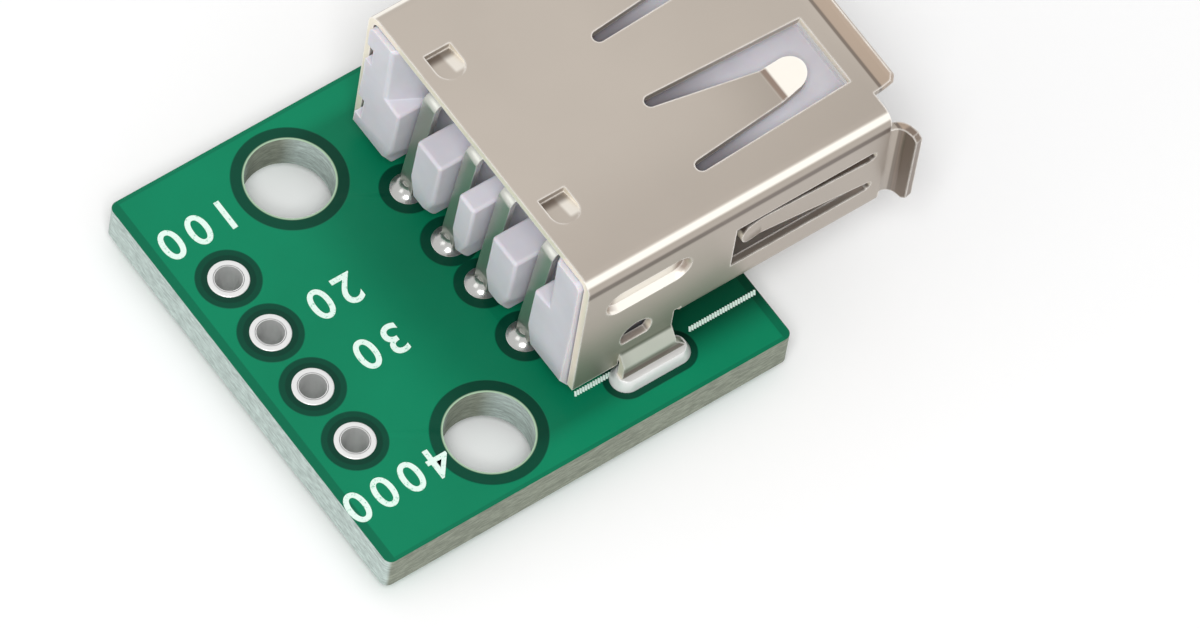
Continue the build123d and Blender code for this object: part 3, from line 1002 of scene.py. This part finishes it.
def plain_mesh(node: str) -> bpy.types.Mesh:
    """Copies a CAD node's mesh with its triangles joined and its flat faces made whole.

    Args:
        node: The CAD node's name.

    Returns:
        A new mesh in the same place.
    """
    bm = bmesh.new()
    bm.from_mesh(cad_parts[node].data)
    bmesh.ops.remove_doubles(bm, verts=bm.verts, dist=WELD)
    flat = math.radians(FLAT_ANGLE)
    bmesh.ops.dissolve_limit(bm, angle_limit=flat, verts=bm.verts, edges=bm.edges, delimit=set())
    bmesh.ops.recalc_face_normals(bm, faces=bm.faces)
    places = [tuple(vertex.co) for vertex in bm.verts]
    bm.verts.index_update()
    faces = [[vertex.index for vertex in face.verts] for face in bm.faces]
    bm.free()
    mesh = bpy.data.meshes.new(node)
    mesh.from_pydata(places, [], faces)
    return mesh


def mesh_from(bm: bmesh.types.BMesh, name: str) -> bpy.types.Mesh:
    """Turns a working mesh into a named mesh and frees it.

    Args:
        bm: The working mesh.
        name: The new mesh's name.

    Returns:
        The new mesh.
    """
    mesh = bpy.data.meshes.new(name)
    bm.to_mesh(mesh)
    bm.free()
    return mesh


def baked(mesh_object: bpy.types.Object) -> bpy.types.Mesh:
    """Makes a plain mesh of an object with its modifiers applied, and removes the object.

    Args:
        mesh_object: The object.

    Returns:
        The mesh.
    """
    graph = bpy.context.evaluated_depsgraph_get()
    mesh = bpy.data.meshes.new_from_object(mesh_object.evaluated_get(graph))
    bpy.data.objects.remove(mesh_object)
    return mesh


def bevelled(
    mesh: bpy.types.Mesh, width: float, segments: int = BEVEL_SEGMENTS, angle: float = BEVEL_ANGLE
) -> bpy.types.Mesh:
    """Rounds a mesh's edges.

    Args:
        mesh: The mesh to round.
        width: How far the rounding reaches from an edge.
        segments: How many faces each rounding has.
        angle: Edges sharper than this, in degrees, are rounded.

    Returns:
        A new mesh.
    """
    mesh.shade_smooth()
    carrier = add_object("carrier", mesh)
    modifier = carrier.modifiers.new("round", "BEVEL")
    modifier.width = width
    modifier.segments = segments
    modifier.limit_method = "ANGLE"
    modifier.angle_limit = math.radians(angle)
    modifier.use_clamp_overlap = True
    modifier.miter_outer = "MITER_ARC"
    flat = carrier.modifiers.new("flat", "WEIGHTED_NORMAL")
    flat.weight = 100
    return baked(carrier)


class GeometryTree:
    """A Geometry Nodes tree that makes one mesh from named sizes."""

    def __init__(self, name: str, sizes: dict[str, float]) -> None:
        """Makes the tree with a float input for each size and a material input.

        Args:
            name: The tree's name.
            sizes: Input name to its value in metres or as a number.
        """
        self.tree = bpy.data.node_groups.new(name, "GeometryNodeTree")
        self.tree.interface.new_socket("Geometry", in_out="INPUT", socket_type="NodeSocketGeometry")
        self.sizes = sizes
        self.identifiers: dict[str, str] = {}
        for key in sizes:
            socket = self.tree.interface.new_socket(key, in_out="INPUT", socket_type="NodeSocketFloat")
            self.identifiers[key] = socket.identifier
        socket = self.tree.interface.new_socket("Finish", in_out="INPUT", socket_type="NodeSocketMaterial")
        self.identifiers["Finish"] = socket.identifier
        self.tree.interface.new_socket("Geometry", in_out="OUTPUT", socket_type="NodeSocketGeometry")
        self.graph = Graph(self.tree)
        self.given = self.graph.add("NodeGroupInput").outputs

    def line(self, count: Any, start: Any, offset: Any) -> Socket:
        """Adds a row of points.

        Args:
            count: How many points, as a float.
            start: The first point.
            offset: The step to the next point.

        Returns:
            The points.
        """
        whole = self.graph.add("FunctionNodeFloatToInt", {0: count}).outputs[0]
        inputs = {"Count": whole, "Start Location": start, "Offset": offset}
        return self.graph.add("GeometryNodeMeshLine", inputs, mode="OFFSET").outputs[0]

    def close(self, geometry: Socket) -> None:
        """Ends the tree in Realize Instances and Set Material.

        Args:
            geometry: What the tree has made.
        """
        real = self.graph.add("GeometryNodeRealizeInstances", {0: geometry}).outputs[0]
        inputs = {"Geometry": real, "Material": self.given["Finish"]}
        dressed = self.graph.add("GeometryNodeSetMaterial", inputs).outputs[0]
        self.graph.add("NodeGroupOutput", {0: dressed})

    def mesh(self, material: bpy.types.Material) -> bpy.types.Mesh:
        """Runs the tree with its sizes.

        Args:
            material: The mesh's material.

        Returns:
            The plain mesh.
        """
        carrier = add_object("carrier", bpy.data.meshes.new("carrier"))
        modifier = carrier.modifiers.new("tree", "NODES")
        modifier.node_group = self.tree
        for key, value in self.sizes.items():
            modifier[self.identifiers[key]] = value
        modifier[self.identifiers["Finish"]] = material
        return baked(carrier)


def turned(profile: Sequence[tuple[float, float]], turns: int) -> bmesh.types.BMesh:
    """Turns a profile of radius and height round the Z axis.

    Args:
        profile: Points as radius and height, from the bottom up.
        turns: How many steps make the full turn.

    Returns:
        The turned mesh, which the caller frees.
    """
    bm = bmesh.new()
    rings = []
    for radius, height in profile:
        ring = []
        for step in range(turns if radius else 1):
            angle = 2 * math.pi * step / turns
            ring.append(bm.verts.new((radius * math.cos(angle), radius * math.sin(angle), height)))
        rings.append(ring)
    for low, high in zip(rings, rings[1:]):
        for step in range(turns):
            corners = [low[step % len(low)], low[(step + 1) % len(low)]]
            corners += [high[(step + 1) % len(high)], high[step % len(high)]]
            corners = list(dict.fromkeys(corners))
            if len(corners) > 2:
                bm.faces.new(corners)
    return bm


@dataclass
class Board:
    """The circuit board with its pads, rims and white print."""

    shared: Shared
    layout: BoardLayout
    edge_round: float = 0.04 * MM
    edge_angle: float = 40.0
    pad_height: float = 0.03 * MM
    pad_turns: int = 64
    pad_smooth_angle: float = 40.0
    print_height: float = 0.02 * MM
    digit_height: float = 1.74 * MM
    digit_weight: float = 0.02 * MM
    digit_spacing: float = 1.3
    numbers: tuple[str, ...] = ("100", "20", "30", "4000")
    digit_places: tuple[tuple[float, float], ...] = (
        (-3.85 * MM, 6.05 * MM),
        (-1.4 * MM, 1.35 * MM),
        (-1.2 * MM, -1.14 * MM),
        (-3.85 * MM, -5.95 * MM),
    )
    hatch_y: float = 6.34 * MM
    hatch_width: float = 0.2 * MM
    hatch_pitch: float = 0.11 * MM
    hatch_angle: float = -32.0
    stroke_width: float = 0.08 * MM
    hatch_runs: tuple[tuple[float, float], ...] = ((3.4 * MM, 4.9 * MM), (8.25 * MM, 11.1 * MM))

    def build(self) -> None:
        """Builds the board, its pads and its print."""
        self.laminate()
        plating = Metal.PLATING.value.material(self.shared)
        self.pads(plating)
        ink = PrintFinish().material(self.shared)
        self.digits(ink)
        for side, label in ((1, "far"), (-1, "near")):
            for index, (start, end) in enumerate(self.hatch_runs, start=1):
                self.hatching(ink, f"hatching_{label}_{index}", side, start, end)
        for node in sorted(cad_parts):
            if node.endswith("_hole") or node.startswith("header_hole") or node.endswith("_slot"):
                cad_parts[node].data.materials.clear()
                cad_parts[node].data.materials.append(plating)
                log.info("%s dressed in %s", node, plating.name)

    def laminate(self) -> None:
        """Dresses the board with slightly broken edges."""
        finish = MaskedBoardFinish(self.layout).material(self.shared)
        mesh = bevelled(plain_mesh("circuit_board"), self.edge_round, BEVEL_SEGMENTS, self.edge_angle)
        board = mesh_piece("masked_board", mesh, finish)
        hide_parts("circuit_board")

    def pads(self, plating: bpy.types.Material) -> None:
        """Makes the tinned rings round the header holes, one pattern for both faces.

        Args:
            plating: The rings' material.
        """
        lay = self.layout
        tree = GeometryTree(
            "pad_row",
            {
                "Count": 4,
                "Pitch": lay.header_pitch,
                "Ring Radius": lay.header_pad_radius,
                "Bore Radius": lay.header_bore_radius,
                "Height": self.pad_height,
                "Row X": lay.header_x,
                "Board Top": lay.top,
            },
        )
        g, given = tree.graph, tree.given
        half_pitch = g.math("MULTIPLY", given["Pitch"], -0.5)
        half_row = g.math("MULTIPLY", g.math("SUBTRACT", given["Count"], 1.0), half_pitch)
        start = g.vector(given["Row X"], half_row)
        line = tree.line(given["Count"], start, g.vector(y=given["Pitch"]))
        width = g.math("SUBTRACT", given["Ring Radius"], given["Bore Radius"])
        middle = g.math("MULTIPLY_ADD", width, 0.5, given["Bore Radius"])
        circle_inputs = {"Resolution": self.pad_turns, "Radius": middle}
        path = g.add("GeometryNodeCurvePrimitiveCircle", circle_inputs).outputs[0]
        section_inputs = {"Width": width, "Height": g.math("MULTIPLY", given["Height"], 2.0)}
        section = g.add("GeometryNodeCurvePrimitiveQuadrilateral", section_inputs).outputs[0]
        soft_inputs = {"Curve": section, "Radius": given["Height"], "Count": 3, "Limit Radius": True}
        soft = g.add("GeometryNodeFilletCurve", soft_inputs, mode="POLY").outputs[0]
        ring = g.add("GeometryNodeCurveToMesh", {0: path, 1: soft}).outputs[0]
        rows = g.add("GeometryNodeInstanceOnPoints", {"Points": line, "Instance": ring}).outputs[0]
        lift_inputs = {"Geometry": rows, "Translation": g.vector(z=given["Board Top"])}
        upper = g.add("GeometryNodeTransform", lift_inputs).outputs[0]
        both = g.add("GeometryNodeJoinGeometry")
        g.feed(both.inputs[0], rows)
        g.feed(both.inputs[0], upper)
        tree.close(both.outputs[0])
        mesh = tree.mesh(plating)
        smooth(mesh, self.pad_smooth_angle)
        mesh_piece("header_pads", mesh, plating)

    def digits(self, ink: bpy.types.Material) -> None:
        """Prints plain numbers beside the holes, to be read from the far side.

        Args:
            ink: The print's material.
        """
        for number, ((x, y), text) in enumerate(zip(self.digit_places, self.numbers), start=1):
            curve = bpy.data.curves.new("digit", "FONT")
            curve.body = text
            curve.space_character = self.digit_spacing
            curve.offset = self.digit_weight
            curve.size = self.digit_height
            curve.align_x = "CENTER"
            curve.align_y = "CENTER"
            curve.extrude = self.print_height / 2
            mesh = baked(add_object("digit", curve))
            place = Matrix.Translation((x, y, self.layout.top + self.print_height / 2))
            mesh.transform(place @ Matrix.Rotation(math.pi, 4, "Z"))
            mesh_piece(f"printed_number_{number}", mesh, ink)

    def hatching(self, ink: bpy.types.Material, name: str, side: int, start: float, end: float) -> None:
        """Prints one hatched strip that marks a side of the socket.

        Args:
            ink: The print's material.
            name: The strip's name.
            side: 1 for the far side and -1 for the near side.
            start: Where the strip starts along X.
            end: Where it ends.
        """
        tree = GeometryTree(
            name,
            {
                "Start": start,
                "Length": end - start,
                "Row Y": side * self.hatch_y,
                "Strip Width": self.hatch_width,
                "Stroke Pitch": self.hatch_pitch,
                "Stroke Width": self.stroke_width,
                "Top": self.layout.top,
                "Ink Height": self.print_height,
            },
        )
        g, given = tree.graph, tree.given
        count = g.math("DIVIDE", given["Length"], given["Stroke Pitch"])
        lift = g.math("MULTIPLY_ADD", given["Ink Height"], 0.5, given["Top"])
        begin = g.vector(given["Start"], given["Row Y"], lift)
        line = tree.line(count, begin, g.vector(given["Stroke Pitch"]))
        size = g.vector(given["Stroke Width"], given["Strip Width"], given["Ink Height"])
        stroke = g.add("GeometryNodeMeshCube", {"Size": size}).outputs[0]
        lean = (0.0, 0.0, math.radians(self.hatch_angle))
        row_inputs = {"Points": line, "Instance": stroke, "Rotation": lean}
        tree.close(g.add("GeometryNodeInstanceOnPoints", row_inputs).outputs[0])
        mesh_piece(name, tree.mesh(ink), ink)


@dataclass
class Shell:
    """The folded metal shell of the socket."""

    shared: Shared
    edge_round: float = 0.035 * MM

    def build(self) -> None:
        """Builds the shell with its sheared edges slightly rounded."""
        finish = Metal.SHELL.value.material(self.shared)
        mesh = bevelled(plain_mesh("socket_shell"), self.edge_round)
        piece = mesh_piece("folded_shell", mesh, finish)
        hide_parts("socket_shell")


@dataclass
class Insulator:
    """The moulded insulator with its comb and tongue."""

    shared: Shared
    edge_round: float = 0.05 * MM
    fin_round: float = 0.2 * MM
    fin_cut: float = 0.3 * MM
    fin_cut_rise: float = 0.8 * MM
    gap_half: float = 0.55 * MM
    gap_ys: tuple[float, ...] = (-3.5 * MM, -1.0 * MM, 1.0 * MM, 3.5 * MM)
    comb_back: float = 4.41 * MM
    comb_half: float = 5.6 * MM
    fin_depth: float = 1.3 * MM
    fin_segments: int = 4
    fin_angle: float = 35.0
    bend_angle: float = 0.5
    near: float = 0.02 * MM
    colour: Colour = (211, 209, 217)
    edge_colour: Colour = (230, 228, 235)

    def build(self) -> None:
        """Builds the insulator with tapered fins and moulded edge rounding."""
        finish = MouldedFinish("moulded_insulator", self.colour, self.edge_colour).material(self.shared)
        mesh = plain_mesh("socket_insulator")
        self.soften_fins(mesh)
        mesh = bevelled(mesh, self.edge_round)
        piece = mesh_piece("moulded_comb_and_tongue", mesh, finish)
        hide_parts("socket_insulator")

    def soften_fins(self, mesh: bpy.types.Mesh) -> None:
        """Cuts the lower corners off the comb's fins and rounds them.

        Args:
            mesh: The insulator's mesh, which is changed in place.
        """
        bm = bmesh.new()
        bm.from_mesh(mesh)
        belly = min(vertex.co.x for vertex in bm.verts) + self.near / 2
        belly_z = max(vertex.co.z for vertex in bm.verts if vertex.co.x < belly)
        whole = bm.verts[:] + bm.edges[:] + bm.faces[:]
        level = (0.0, 0.0, belly_z + self.fin_cut_rise)
        bmesh.ops.bisect_plane(bm, geom=whole, plane_co=level, plane_no=(0.0, 0.0, 1.0), dist=2 * WELD)
        for vertex in bm.verts:
            for gap_y in self.gap_ys:
                offset = vertex.co.y - gap_y
                if vertex.co.x < belly and abs(abs(offset) - self.gap_half) < self.near:
                    vertex.co.y += math.copysign(self.fin_cut, offset)
        bmesh.ops.connect_verts_nonplanar(bm, angle_limit=math.radians(self.bend_angle), faces=bm.faces)
        bmesh.ops.recalc_face_normals(bm, faces=bm.faces)
        bmesh.ops.bevel(
            bm,
            geom=[edge for edge in bm.edges if self.is_fin_edge(edge)],
            offset=self.fin_round,
            offset_type="OFFSET",
            segments=self.fin_segments,
            profile=0.5,
            affect="EDGES",
            clamp_overlap=True,
        )
        bm.to_mesh(mesh)
        bm.free()

    def is_fin_edge(self, edge: bmesh.types.BMEdge) -> bool:
        """Tells whether an edge is an outer corner of a fin.

        Args:
            edge: An edge of the insulator.

        Returns:
            True for a sharp outer edge of the comb's rear part.
        """
        ends = [vertex.co for vertex in edge.verts]
        in_comb = all(end.x < self.comb_back and abs(end.y) < self.comb_half for end in ends)
        at_face = min(end.x for end in ends) < self.comb_back - self.fin_depth
        outer = edge.is_manifold and edge.is_convex
        return in_comb and at_face and outer and edge.calc_face_angle() > math.radians(self.fin_angle)


@dataclass
class Contacts:
    """The four contacts and all solder."""

    shared: Shared
    names: tuple[str, ...] = ("ground", "data_plus", "data_minus", "power")
    turns: int = 48
    foot_radius: float = 0.645 * MM
    pin_radius: float = 0.2 * MM
    rise: float = 0.4 * MM
    fall: float = 0.45 * MM
    steps: int = 7
    spread_power: float = 1.6
    climb_power: float = 1.5
    smooth_angle: float = 50.0
    strip_round: float = 0.03 * MM
    pool_round: float = 0.1 * MM
    pool_segments: int = 3
    pool_angle: float = 20.0

    def build(self, layout: BoardLayout) -> None:
        """Builds the contacts' and the solder's looks.

        Args:
            layout: The board's layout.
        """
        metal = Metal.CONTACT.value.material(self.shared)
        for name in self.names:
            mesh = bevelled(plain_mesh(f"{name}_contact"), self.strip_round)
            piece = mesh_piece(f"{name}_bent_contact", mesh, metal)
            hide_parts(f"{name}_contact")
        solder = Metal.SOLDER.value.material(self.shared)
        for name in self.names:
            low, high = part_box(f"{name}_solder")
            centre = (low + high) / 2
            mesh = self.mound(centre.x, centre.y, layout.top)
            piece = mesh_piece(f"{name}_solder_mound", mesh, solder)
            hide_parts(f"{name}_solder")
        # The lug solder's pale colour is a painted highlight.
        pool = Metal.LUG_SOLDER_PAINTED_BRIGHT.value.material(self.shared)
        for side in ("far", "near"):
            pool_mesh = plain_mesh(f"{side}_lug_solder")
            mesh = bevelled(pool_mesh, self.pool_round, self.pool_segments, self.pool_angle)
            piece = mesh_piece(f"{side}_lug_solder_pool", mesh, pool)
            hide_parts(f"{side}_lug_solder")

    def mound(self, x: float, y: float, top: float) -> bpy.types.Mesh:
        """Makes one solder joint as a turned body that climbs the pin above and below the board.

        Args:
            x: The pin's place along the board.
            y: The pin's place across the board.
            top: The height of the board's upper face.

        Returns:
            The joint's mesh.
        """
        spread = self.foot_radius - self.pin_radius
        parts = [step / self.steps for step in range(self.steps + 1)]
        profile = [(0.0, -self.fall)]
        for part in parts:
            radius = self.pin_radius + spread * part**self.spread_power
            profile.append((radius, -self.fall * (1 - part) ** self.climb_power))
        for part in parts:
            radius = self.foot_radius - spread * (1 - (1 - part) ** self.spread_power)
            profile.append((radius, top + self.rise * part**self.climb_power))
        profile.append((0.0, top + self.rise))
        bm = turned(profile, self.turns)
        bmesh.ops.remove_doubles(bm, verts=bm.verts, dist=WELD)
        bmesh.ops.recalc_face_normals(bm, faces=bm.faces)
        bm.transform(Matrix.Translation((x, y, 0.0)))
        mesh = mesh_from(bm, "mound")
        smooth(mesh, self.smooth_angle)
        return mesh


@dataclass(frozen=True)
class Lamp:
    """A soft rectangular lamp that faces the object."""

    name: str
    place: tuple[float, float, float]
    width: float
    height: float
    watts: float

    def build(self) -> None:
        """Adds the lamp."""
        data = bpy.data.lights.new(self.name, "AREA")
        data.shape = "RECTANGLE"
        data.size = self.width
        data.size_y = self.height
        data.energy = self.watts
        lamp = add_object(self.name, data)
        middle = (CAD_BOX[0] + CAD_BOX[1]) / 2
        lamp.location = self.place
        lamp.rotation_euler = (middle - Vector(self.place)).to_track_quat("-Z", "Y").to_euler()


@dataclass
class Studio:
    """The floor, the lamps, the world and the camera."""

    shared: Shared
    eye: tuple[float, float, float] = (-205.944 * MM, -221.158 * MM, 501.314 * MM)
    right: tuple[float, float, float] = (0.811525, -0.576753, 0.09372)
    up: tuple[float, float, float] = (0.458261, 0.727723, 0.51031)
    focal_px: float = 16961.25
    sensor_mm: float = 36.0
    clip_start: float = 0.05
    clip_end: float = 20.0
    world_light: float = 0.57
    floor_half: float = 1.5
    lamps: tuple[Lamp, ...] = (
        Lamp("front", (-0.25, -0.265, 0.6), width=0.25, height=0.25, watts=2.8),
        Lamp("left", (-0.18, 0.05, 0.08), width=0.12, height=0.1, watts=0.04),
    )

    def build(self) -> None:
        """Builds everything that isn't the object."""
        self.floor()
        for lamp in self.lamps:
            lamp.build()
        self.world()
        self.camera()

    def floor(self) -> None:
        """Lays the floor under the object's lowest point."""
        bm = bmesh.new()
        bmesh.ops.create_grid(bm, x_segments=2, y_segments=2, size=self.floor_half)
        bm.transform(Matrix.Translation((0.0, 0.0, CAD_BOX[0].z)))
        mesh = mesh_from(bm, "floor")
        mesh.materials.append(FloorFinish().material(self.shared))
        floor = add_object("floor", mesh)

    def world(self) -> None:
        """Makes a world that looks white and lights the object at a plain level."""
        world = bpy.data.worlds.new("studio")
        bpy.context.scene.world = world
        world.use_nodes = True
        world.node_tree.nodes.clear()
        g = Graph(world.node_tree)
        path = g.add("ShaderNodeLightPath").outputs
        seen = g.math("MAXIMUM", path["Is Camera Ray"], path["Is Glossy Ray"])
        seen = g.math("MAXIMUM", seen, path["Is Transmission Ray"])
        strength = g.ramp(seen, 0.0, 1.0, self.world_light, 1.0)
        inputs = {"Color": (1.0, 1.0, 1.0, 1.0), "Strength": strength}
        background = g.add("ShaderNodeBackground", inputs).outputs[0]
        g.add("ShaderNodeOutputWorld", {"Surface": background})

    def camera(self) -> None:
        """Sets the camera at the photograph's fitted place."""
        data = bpy.data.cameras.new("camera")
        data.sensor_width = self.sensor_mm
        data.lens = self.focal_px * self.sensor_mm / PHOTO_WIDTH_PX
        data.clip_start = self.clip_start
        data.clip_end = self.clip_end
        camera = add_object("camera", data)
        right, up = Vector(self.right).normalized(), Vector(self.up).normalized()
        back = right.cross(up)
        rotation = Matrix((right, up, back)).transposed()
        camera.matrix_world = Matrix.Translation(self.eye) @ rotation.to_4x4()
        bpy.context.scene.camera = camera
        bpy.context.scene.view_settings.view_transform = "Standard"


def main() -> None:
    """Builds the object piece by piece, then the studio."""
    logging.basicConfig(level=logging.INFO, format="%(name)s: %(message)s")
    shared = Shared(make_edge_wear_and_highlight(), make_grain())
    low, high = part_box("circuit_board")
    layout = BoardLayout(rear_x=low.x, front_x=high.x, half_width=high.y, top=high.z)
    Board(shared, layout).build()
    Shell(shared).build()
    Insulator(shared).build()
    Contacts(shared).build(layout)
    Studio(shared).build()


if __name__ == "__main__":
    main()
